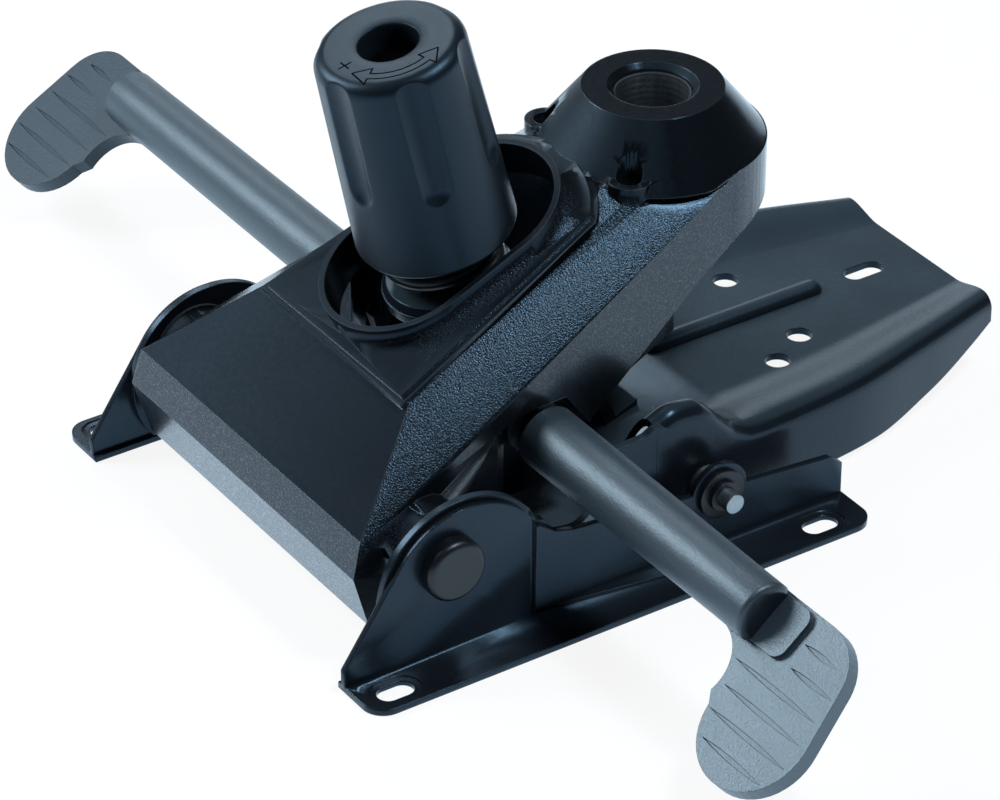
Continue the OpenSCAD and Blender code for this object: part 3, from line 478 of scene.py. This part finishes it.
def back_plate_meshes():
    """Pressed back plate as dish, arms and apron. The dish is a section carried along Y: a flat floor, a
    smooth step z = floor + (crest - floor) t t (3 - 2t) up to the crest, a quarter circle over the rim and a
    straight wall, with every width and height a curve through its table and the inner face set in square
    to the sheet. The arms are upright sheets between two edge curves, the apron a sheet between them."""
    sheet, rim = 3.0, 6.0
    width = [(36, 80.5), (60, 79.5), (86, 77), (136, 72), (182, 61), (222, 49)]
    crest = [(36, 55), (46, 58), (56, 56.5), (62, 52.5), (68, 46.5), (75, 40), (84, 36), (96, 35), (180, 34),
             (222, 32.5)]
    floor = [(-18, 8), (22, 8), (36, 15), (80, 27.6), (92, 29), (222, 29)]
    foot = [(36, 4), (150, 3), (182, 8), (212, 17), (222, 21)]
    y = np.concatenate([np.linspace(36, 100, 64, endpoint=False), np.linspace(100, 200, 50, endpoint=False),
                        np.linspace(200, 222, 16)])
    w, zr, low, zf = (curve_through(t, y)[:, None] for t in (width, crest, foot, floor))

    def half(inset):
        t, a = np.linspace(0, 1, 24)[None, :], np.linspace(np.pi / 2, 0, 10)[None, 1:]
        flat, down = np.linspace(0, 1, 8)[None, :-1], np.linspace(0, 1, 7)[None, 1:]
        x0 = 0.52 * w
        run = w - rim - x0
        slope = (zr - zf) * 6 * t * (1 - t) / run
        square = inset / np.sqrt(1 + slope ** 2)
        xs = [x0 * flat, x0 + run * t + slope * square,
              w - rim + (rim - inset) * np.cos(a), w - inset + 0 * down]
        zs = [zf - inset + 0 * flat, zf + (zr - zf) * t * t * (3 - 2 * t) - square,
              zr - rim + (rim - inset) * np.sin(a), zr - rim + (low - zr + rim) * down]
        return np.concatenate(xs, 1), np.concatenate(zs, 1)

    ox, oz = half(0.0)
    ix, iz = half(sheet)
    dish = [(y, np.concatenate([-ox[:, :0:-1], ox, ix[:, :0:-1], -ix], 1),
             np.concatenate([oz[:, :0:-1], oz, iz[:, :0:-1], iz], 1))]

    cy, cz, lobe, lower = -57.0, 26.8, 36.0, 4.08
    lane = [(-104, 90.2), (-29, 90.2), (-25, 88.2), (-8, 88.2), (12, 80.5), (36, 80.42), (44, 80.09)]
    upper = [(-57, 40), (-22, 40), (-13, 31.5), (4, 30), (9, 34.5), (12, 42), (13.5, 48), (17, 51.5),
             (22, 52), (30, 52.5), (36, 54.9), (44, 51.1)]
    turn = np.linspace(0, np.pi / 2, 30, endpoint=False)
    ya = np.concatenate([cy - lobe * np.cos(turn), np.linspace(cy, 44, 140)])
    arc = np.sqrt(np.clip(lobe ** 2 - (ya - cy) ** 2, 0, None))
    top = np.maximum(cz + arc, np.where(ya >= cy, curve_through(upper, ya), 0))
    under = np.where(ya < cy, np.maximum(lower, cz - arc), lower)
    xa = np.repeat(curve_through(lane, ya)[:, None], 24, 1)
    za = under[:, None] + np.outer(np.maximum(top - under, 0.02), np.linspace(0, 1, 24))
    arms = [(ya, side * np.concatenate([xa, (xa - sheet)[:, ::-1]], 1), np.concatenate([za, za[:, ::-1]], 1))
            for side in (1, -1)]

    # The apron is a low sheet between the arms that hides the floor under the housing so the space reads
    # dark: it stands in for shade there as well as for plate.
    apron_y, apron_half = [-18, -8, 13, 37], [86.5, 86.5, 79, 79]
    yb = np.linspace(-18, 36.5, 40)
    xb = np.outer(np.interp(yb, apron_y, apron_half), np.linspace(-1, 1, 30))
    zb = np.repeat(curve_through(floor, yb)[:, None], 30, 1)
    apron = [(yb, np.concatenate([xb, xb[:, ::-1]], 1), np.concatenate([zb, zb - sheet], 1))]
    return [loft(shells) for shells in (dish, arms, apron)]


def loft(shells):
    """Closed shells from rings of (x, z) carried along Y, as one set of vertices and faces."""
    points, faces, start = [], [], 0
    for ys, xs, zs in shells:
        ring = xs.shape[1]
        points.append(np.stack([xs, np.repeat(ys[:, None], ring, 1), zs], 2).reshape(-1, 3))
        faces += list(grid_faces(len(ys), ring, wrap_columns=True, start=start))
        faces += list(strip_caps(len(ys), ring, start))
        start += len(ys) * ring
    return np.concatenate(points), faces


def bead_mesh():
    """Raised bead on the dish's floor: a half ellipse carried along Y that closes to a point at both ends."""
    half, height, floor, start, length = 5.0, 4.3, 28.7, 92, 76
    rows, columns, sunk = 80, 26, 0.15
    u, v = np.meshgrid(np.linspace(0, 1, rows), np.linspace(-sunk, np.pi + sunk, columns), indexing="ij")
    end = np.clip(np.abs(u - 0.5) - 0.4, 0, 0.1) / 0.1
    push = np.sign(u - 0.5) * half * np.sin(end * np.pi / 2)
    size = np.cos(end * np.pi / 2)
    along = start + length * np.clip((u - 0.1) / 0.8, 0, 1) + push
    points = np.stack([half * size * np.cos(v), along, floor + height * size * np.sin(v)], 2)
    return points.reshape(-1, 3), list(grid_faces(rows, columns))


def knob_mesh():
    """Fluted knob. Its profile (radius, height) is turned about the bolt. On the outside the radius is the
    softened minimum of the cone and, for each flute, a leaning round cutter of radius c(h) at a distance
    R(h) from the axis: R cos a - sqrt(c c - R R sin a sin a), with a ball at its low end."""
    base_r, top_r, base, top, rim = KNOB_BASE_R, KNOB_TOP_R, KNOB_BASE, KNOB_TOP, KNOB_RIM
    flutes, first, low, soft = 6, math.radians(-18.0), 117.0, 0.12
    flute_r, flute_depth, flute_lean, flute_growth = 8.5, 2.8, 0.12, 0.131
    bore, cup, ceiling, recess, recess_floor = 7.0, 25.5, 136.0, 11.2, 146.0
    foot, foot_r = 2, 29
    arc = np.linspace(0, np.pi / 2, 14)
    wall = np.linspace(base + foot, top - rim, 110)
    cone = base_r - (base_r - top_r) * (wall - base) / (top - base)
    shoulder = cone[-1]
    profile = [(bore, ceiling), (25.0, ceiling), (25.3, 135.7), (cup, 135.0), (cup, 110.0), (cup, 79.6),
               (25.9, base), (28.4, base)]
    profile += list(zip(foot_r + (cone[0] - foot_r) * np.sin(arc), base + foot - foot * np.cos(arc)))
    first_wall = len(profile)
    profile += list(zip(cone, wall))
    profile += list(zip(shoulder - rim + rim * np.cos(arc[1:]), top - rim + rim * np.sin(arc[1:])))
    last_wall = len(profile)
    profile += [(20.0, top), (16.0, top), (12.6, top), (11.6, top - 0.3), (11.3, top - 1.0), (recess, 156.0),
                (recess, recess_floor), (bore, recess_floor)]
    profile = np.array(profile)
    turn = np.linspace(0, 2 * np.pi, 480, endpoint=False)
    r = np.repeat(profile[:, :1], len(turn), 1)
    h = np.repeat(profile[:, 1:], len(turn), 1)
    part = slice(first_wall, last_wall)
    hp = h[part]
    pitch = 2 * np.pi / flutes
    a = (turn[None, :] - first + pitch / 2) % pitch - pitch / 2
    above, below = np.clip(hp - low, 0, None), np.clip(low - hp, 0, flute_r)
    low_r = base_r - (low - base) * (base_r - top_r) / (top - base)
    axis = low_r + flute_r - flute_depth + above * flute_lean
    cutter = flute_r + above * flute_growth
    c2 = cutter ** 2 - below ** 2 - (axis * np.sin(a)) ** 2
    cut = np.where(c2 > 0, axis * np.cos(a) - np.sqrt(np.clip(c2, 0, None)), 99.0)
    gap = cut - r[part]
    r[part] = r[part] + 0.5 * (gap - np.sqrt(gap ** 2 + soft))
    points = on_bolt(r * np.cos(turn), r * np.sin(turn), h)
    return points.reshape(-1, 3), list(grid_faces(len(profile), len(turn), True, True))


def spring_mesh():
    """Compression spring: a circle of the wire's radius carried along a helix whose end turns lie close."""
    wire, coil, turns, low, high = 3.3, 19.8, 6.5, 62.4, 128.6
    ring, end_gap = 24, 0.6
    t = np.linspace(0, turns, 400)
    close = 2 * wire + end_gap
    free = (high - low - 2 * close) / (turns - 2)
    last = high - low - close * (turns - t)
    rise = np.where(t < 1, close * t, np.where(t > turns - 1, last, close + free * (t - 1)))
    a = np.linspace(0, 2 * np.pi, ring, endpoint=False)
    r = coil + wire * np.cos(a)[None, :]
    turn = 2 * np.pi * t[:, None]
    points = on_bolt(r * np.cos(turn), r * np.sin(turn), (low + rise)[:, None] + wire * np.sin(a)[None, :])
    faces = list(grid_faces(len(t), ring, wrap_columns=True))
    faces += [np.arange(ring), (len(t) - 1) * ring + np.arange(ring)[::-1]]
    return points.reshape(-1, 3), faces


def ribbon(line, half, height):
    """Thin raised line: a flat roof profile carried along a path on the knob's top, given in its plane."""
    p = np.array(line, float)
    along = np.gradient(p, axis=0)
    along /= np.linalg.norm(along, axis=1, keepdims=True)
    out = np.stack([-along[:, 1], along[:, 0]], 1)
    offset = np.array([-1.0, -0.5, 0.5, 1.0]) * half
    lift = np.array([-0.05, 1.0, 1.0, -0.05]) * height
    flat = p[:, None, :] + offset[None, :, None] * out[:, None, :]
    past = np.clip(np.linalg.norm(flat, axis=2) - KNOB_FLAT_R, 0, 5.0)
    drop = KNOB_RIM - np.sqrt(KNOB_RIM ** 2 - past ** 2)
    points = on_bolt(flat[..., 0], flat[..., 1], KNOB_TOP + lift - drop)
    return points.reshape(-1, 3), grid_faces(len(p), 4)


def marks_mesh():
    """Plus sign and a hollow double arrow bent round the hole, as thin lines on the knob's top."""
    lines = []

    def straight(p, q):
        lines.append(np.linspace(p, q, 6))

    def bent(r, a0, a1):
        a = np.radians(np.linspace(a0, a1, 40))
        lines.append(np.stack([r * np.cos(a), r * np.sin(a)], 1))

    def polar(r, a):
        return (r * math.cos(math.radians(a)), r * math.sin(math.radians(a)))

    plus_r, plus_at, plus_half = 18.8, -91, 2.8
    inner, outer, start_at, end_at = 18.6, 21.6, -54, 12
    barb_in, barb_out, tip_r, head = 15.6, 24.8, 20.3, 20
    straight(polar(plus_r - plus_half, plus_at), polar(plus_r + plus_half, plus_at))
    c = np.array(polar(plus_r, plus_at))
    straight(c - (plus_half, 0), c + (plus_half, 0))
    bent(inner, start_at, end_at)
    bent(outer, start_at, end_at)
    for a, s in ((start_at, -1), (end_at, 1)):
        tip = polar(tip_r, a + head * s)
        straight(polar(barb_in, a), tip)
        straight(polar(barb_out, a), tip)
        straight(polar(barb_in, a), polar(inner, a))
        straight(polar(barb_out, a), polar(outer, a))
    points, faces, start = [], [], 0
    for line in lines:
        p, q = ribbon(line, half=0.36, height=0.1)
        points.append(p)
        faces += list(q + start)
        start += len(p)
    return np.concatenate(points), faces


def finish_node(name, material):
    """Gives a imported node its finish."""
    slots = NODES[name].data.materials
    slots.clear()
    slots.append(material)


def smooth_copy(name, node, material, body, angle=35.0):
    """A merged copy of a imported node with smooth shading, which then stands for that node."""
    mesh = NODES[node].data.copy()
    mesh.materials.clear()
    work = bmesh.new()
    work.from_mesh(mesh)
    bmesh.ops.remove_doubles(work, verts=work.verts, dist=2e-6)
    work.to_mesh(mesh)
    work.free()
    thing = bpy.data.objects.new(name, mesh)
    bpy.context.scene.collection.objects.link(thing)
    shade(mesh, angle)
    flat = thing.modifiers.new("flat", "WEIGHTED_NORMAL")
    flat.keep_sharp, flat.weight = True, 90
    bake(thing)
    return dress(thing, material, body, node)


def dress(thing, material, body, *nodes):
    """Puts a new piece on its body, in its material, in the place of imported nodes."""
    thing.data.materials.clear()
    thing.data.materials.append(material)
    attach(thing, body)
    if nodes:
        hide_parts(*nodes)
    return thing


# Sizes and colours that a user may change

class FinishSettings(bpy.types.PropertyGroup):
    """Colours of the finishes."""
    casting: FloatVectorProperty(name="Casting", description="Powder coat on the housing", subtype="COLOR",
                                 default=(0.0035, 0.0042, 0.0054))
    sheet: FloatVectorProperty(name="Sheet", description="Coat on rails and back plate", subtype="COLOR",
                               default=(0.007, 0.009, 0.012))
    knob: FloatVectorProperty(name="Knob", description="Plastic of the tension knob", subtype="COLOR",
                              default=(0.005, 0.0072, 0.0098))
    sleeve: FloatVectorProperty(name="Sleeves", description="Plastic of the lever sleeves", subtype="COLOR",
                                default=(0.02, 0.029, 0.038))
    paddle: FloatVectorProperty(name="Paddles", description="Plastic of the lever paddles", subtype="COLOR",
                                default=(0.022, 0.031, 0.04))


class StudioSettings(bpy.types.PropertyGroup):
    """Light and camera."""
    lens: FloatProperty(name="Lens", description="Focal length", unit="CAMERA",
                        default=173.04, min=20, max=400)
    sky: FloatProperty(name="Sky", description="Strength of the light from all round",
                       default=0.1, min=0, max=2)
    key: FloatProperty(name="Key", description="Power that every lamp has its share of", unit="POWER",
                       default=9.0, min=0, max=200)


# Operators

class TILT_OT_studio(bpy.types.Operator):
    """Makes the camera, the pale floor and the soft light"""
    bl_idname = "tilt.studio"
    bl_label = "Studio"

    def execute(self, context):
        scene = context.scene
        look = scene.tilt_studio
        scene.view_settings.view_transform = "Standard"
        camera = bpy.data.objects.new("camera", bpy.data.cameras.new("camera"))
        camera.data.lens, camera.data.sensor_width = look.lens, 36.0
        camera.data.clip_start, camera.data.clip_end = 0.05, 50.0
        axes = zip(CAMERA_RIGHT, CAMERA_UP, CAMERA_BACK, CAMERA_AT)
        camera.matrix_world = Matrix((*axes, (0, 0, 0, 1)))
        scene.collection.objects.link(camera)
        scene.camera = camera

        ground = bpy.data.meshes.new("floor")
        s, z = FLOOR_HALF, CAD_BOX[0][2] - FLOOR_GAP
        ground.from_pydata([(-s, -s, z), (s, -s, z), (s, s, z), (-s, s, z)], [], [(0, 1, 2, 3)])
        floor = bpy.data.objects.new("floor", ground)
        scene.collection.objects.link(floor)
        ground.materials.append(self.floor_paper())
        scene.world = self.sky(look.sky)
        for name, place, target, size, share in LAMPS:
            self.lamp(scene, name, place, target, size, look.key * share)
        return {"FINISHED"}

    def floor_paper(self):
        """Pale floor that keeps the shadow, is white to the camera, and in what is shiny glows bluer and
        brighter than its light: a painted reflection.
        """
        f = Finish("floor_pale", Base_Color=FLOOR_COLOUR, Roughness=0.9, Specular_IOR_Level=0.1)
        seen, glossy, clear = (f.node("ShaderNodeLightPath", out=f"Is {ray} Ray")
                               for ray in ("Camera", "Glossy", "Transmission"))
        mirrored = glossy + clear
        paper = f.mix(seen, MIRRORED_PAPER, PAPER)
        # In reflections the floor glows bluer and up to 1.9 times as bright as paper: a painted reflection.
        white = f.node("ShaderNodeEmission", {}, {"Color": paper, "Strength": 1.0 + mirrored * 0.9})
        matt = Val(f.tree, f.shader.outputs[0])
        blend = f.node("ShaderNodeMixShader", {}, {0: seen * 0.9 + mirrored * 0.85, 1: matt, 2: white})
        put(f.tree, f.tree.nodes["Material Output"].inputs["Surface"], blend)
        return f.material

    def sky(self, strength):
        """Even light from all round, behind a background that is white to the camera."""
        world = bpy.data.worlds.new("studio")
        world.use_nodes = True
        tree = world.node_tree
        plain = tree.nodes["Background"]
        put(tree, plain.inputs["Color"], SKY_COLOUR)
        put(tree, plain.inputs["Strength"], strength)
        light = Val(tree, plain.outputs[0])
        seen = add_node(tree, "ShaderNodeLightPath", out="Is Camera Ray")
        paper = add_node(tree, "ShaderNodeBackground", {}, {"Color": PAPER})
        blend = add_node(tree, "ShaderNodeMixShader", {}, {0: seen, 1: light, 2: paper})
        put(tree, tree.nodes["World Output"].inputs["Surface"], blend)
        return world

    def lamp(self, scene, name, place, target, size, power):
        """One soft lamp of a given width and height that faces a point."""
        light = bpy.data.lights.new(name, "AREA")
        light.shape = "RECTANGLE"
        (light.size, light.size_y), light.energy, light.color = size, power, LAMP_COLOUR
        lamp = bpy.data.objects.new(name, light)
        lamp.visible_camera = False
        back = np.array(place) - np.array(target)
        lamp.matrix_world = Matrix.Translation(place) @ Matrix(
            [list(r) for r in self.frame(back / np.linalg.norm(back)).T]).to_4x4()
        scene.collection.objects.link(lamp)

    def frame(self, back):
        """Three unit vectors, the last of which looks back along the lamp's beam."""
        right = np.cross([0.0, 0.0, 1.0], back)
        right /= np.linalg.norm(right)
        return np.stack([right, np.cross(back, right), back])


class TILT_OT_housing(bpy.types.Operator):
    """Paints the die-cast housing"""
    bl_idname = "tilt.housing"
    bl_label = "Housing"

    def execute(self, context):
        paint = casting_paint(context.scene.tilt_finish)
        smooth_copy("casting", "housing", paint, "housing", CASTING_SMOOTH)
        return {"FINISHED"}


class TILT_OT_sheet_metal(bpy.types.Operator):
    """Paints the seat rails and builds the pressed back plate"""
    bl_idname = "tilt.sheet_metal"
    bl_label = "Rails and back plate"

    def execute(self, context):
        look = context.scene.tilt_finish
        rail = sheet_paint("rail_paint", tuple(look.sheet), radius=0.0010, gloss=0.2, mirror=0.3)
        smooth_copy("rail_right", "seat_rail_right", rail, "cradle", RAIL_SMOOTH)
        smooth_copy("rail_left", "seat_rail_left", rail, "cradle", RAIL_SMOOTH)
        plate = sheet_paint("plate_paint", tuple(look.sheet), radius=0.0008, gloss=0.2, mirror=0.25, top_sheen=0.4)
        names = ("pressed_plate", "plate_arms", "plate_apron")
        dish, arms, apron = (piece(name, *mesh, smooth=PLATE_SMOOTH)
                             for name, mesh in zip(names, back_plate_meshes()))
        holes = [slot_outline(s * x, y, PLATE_HOLE_R) for x, y in PLATE_HOLES for s in (1, -1)]
        slot = slot_outline(0, REAR_SLOT_Y, REAR_SLOT_R, REAR_SLOT_HALF)
        bolts = [((s * 60, *REAR_BOLT), (s * 110, *REAR_BOLT), REAR_BOLT_HOLE) for s in (1, -1)]
        shaft = [((s * 80, *FRONT_SHAFT), (s * 110, *FRONT_SHAFT), FRONT_SHAFT_HOLE) for s in (1, -1)]
        drill(dish, posts(holes + [slot], low=15, high=45), PLATE_SMOOTH)
        drill(dish, round_bars(bolts), PLATE_SMOOTH)
        drill(arms, round_bars(shaft), PLATE_SMOOTH)
        dress(dish, plate, "cradle", "back_plate")
        dress(arms, plate, "cradle")
        dress(apron, plate, "cradle")
        bead = piece("floor_bead", *bead_mesh(), smooth=ROUND_SMOOTH)
        dress(bead, plate, "cradle")
        finish_node("spring_bridge", plate)
        finish_node("spring_seat", plate)
        return {"FINISHED"}


class TILT_OT_adjuster(bpy.types.Operator):
    """Builds the fluted knob with its marks and the tension spring, and finishes nut and bolt"""
    bl_idname = "tilt.adjuster"
    bl_label = "Tension adjuster"

    def execute(self, context):
        look = context.scene.tilt_finish
        plastic = moulded("knob_plastic", tuple(look.knob), rough=0.27, grain=1900, depth=0.0001,
                          speckle=0.25, radius=0.0005, mirror=0.22)
        knob = piece("knob", *knob_mesh(), smooth=KNOB_SMOOTH)
        dress(knob, plastic, "knob", "tension_knob")
        ink = moulded("knob_marks", grey(look.knob, 0.3), rough=0.7, grain=1900, depth=0.0001, speckle=0.2,
                      radius=0.0002, mirror=0.03)
        dress(piece("knob_lines", *marks_mesh()), ink, "knob")
        wire = machined("spring_steel", (0.012, 0.013, 0.015), rough=0.22, lines=1.0, metallic=0.4)
        coil = piece("coil", *spring_mesh(), smooth=ROUND_SMOOTH)
        dress(coil, wire, "bolt", "tension_spring")
        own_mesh(coil)
        # Nut and bolt end are near black partly so that the deep hole in the knob reads dark: partly painted
        # shade.
        black = machined("black_steel", (0.004, 0.004, 0.005), rough=0.5, lines=3.0)
        for name in ("knob_nut", "tension_bolt"):
            finish_node(name, black)
        return {"FINISHED"}


class TILT_OT_levers(bpy.types.Operator):
    """Finishes the sleeves and paddles of the two levers"""
    bl_idname = "tilt.levers"
    bl_label = "Levers"

    def execute(self, context):
        look = context.scene.tilt_finish
        tube = moulded("sleeve_plastic", tuple(look.sleeve), rough=0.36, grain=1200, depth=0.0002,
                       speckle=0.6, mirror=0.65, tint=SATIN)
        # The lock paddle gets a weaker reflection than the height paddle so that it looks as dim as its light
        # falls: a shaded copy of the same plastic.
        for side, sheen in (("height", 0.8), ("lock", 0.24)):
            smooth_copy(f"{side}_tube", f"{side}_sleeve", tube, f"{side}_lever")
            pad = moulded(f"{side}_paddle_plastic", tuple(look.paddle), rough=0.34, grain=1100, depth=0.0003,
                          speckle=0.9, radius=0.0003, mirror=sheen, tint=SATIN)
            finish_node(f"{side}_paddle", pad)
        return {"FINISHED"}


class TILT_OT_hardware(bpy.types.Operator):
    """Finishes the shaft, pins, washers, rings, bushes and the levers' inner pieces"""
    bl_idname = "tilt.hardware"
    bl_label = "Hardware"

    def execute(self, context):
        bare = machined("bare_steel", (0.3, 0.33, 0.35), rough=0.34, lines=6.0)
        for name in ("thrust_washer", "anchor_pin", "rear_bolts"):
            finish_node(name, bare)
        dark = machined("dark_steel", (0.006, 0.008, 0.011), rough=0.28, lines=2.0, metallic=0.3)
        for name in ("front_shaft", "shaft_cap", "bolt_washers", "lock_rings", "lock_keeper", "height_rod",
                     "lock_rod", "valve_arm", "lock_pawl", "height_clip", "lock_clip"):
            finish_node(name, dark)
        nylon = moulded("nylon", (0.045, 0.047, 0.05), rough=0.45, grain=1400, depth=0.00006, speckle=0.2)
        for name in ("front_bushes", "lever_bushes"):
            finish_node(name, nylon)
        return {"FINISHED"}


class TILT_PT_panel(bpy.types.Panel):
    """Lists the settings and the steps"""
    bl_idname = "TILT_PT_panel"
    bl_label = "Tilt mechanism"
    bl_space_type = "VIEW_3D"
    bl_region_type = "UI"
    bl_category = "Tilt mechanism"

    def draw(self, context):
        layout = self.layout
        for group in (context.scene.tilt_finish, context.scene.tilt_studio):
            for name in group.__annotations__:
                layout.prop(group, name)
        for step in STEPS:
            layout.operator(step.bl_idname)


STEPS = (TILT_OT_studio, TILT_OT_housing, TILT_OT_sheet_metal, TILT_OT_adjuster, TILT_OT_levers,
         TILT_OT_hardware)
CLASSES = (FinishSettings, StudioSettings, *STEPS, TILT_PT_panel)


def register():
    """Adds the settings, operators and panel to Blender."""
    for c in CLASSES:
        bpy.utils.register_class(c)
    bpy.types.Scene.tilt_finish = PointerProperty(type=FinishSettings)
    bpy.types.Scene.tilt_studio = PointerProperty(type=StudioSettings)


def unregister():
    """Takes them out again."""
    del bpy.types.Scene.tilt_finish
    del bpy.types.Scene.tilt_studio
    for c in reversed(CLASSES):
        bpy.utils.unregister_class(c)


def main():
    """Runs every step in order."""
    register()
    for step in STEPS:
        group, name = step.bl_idname.split(".")
        getattr(getattr(bpy.ops, group), name)()


if __name__ == "__main__":
    main()
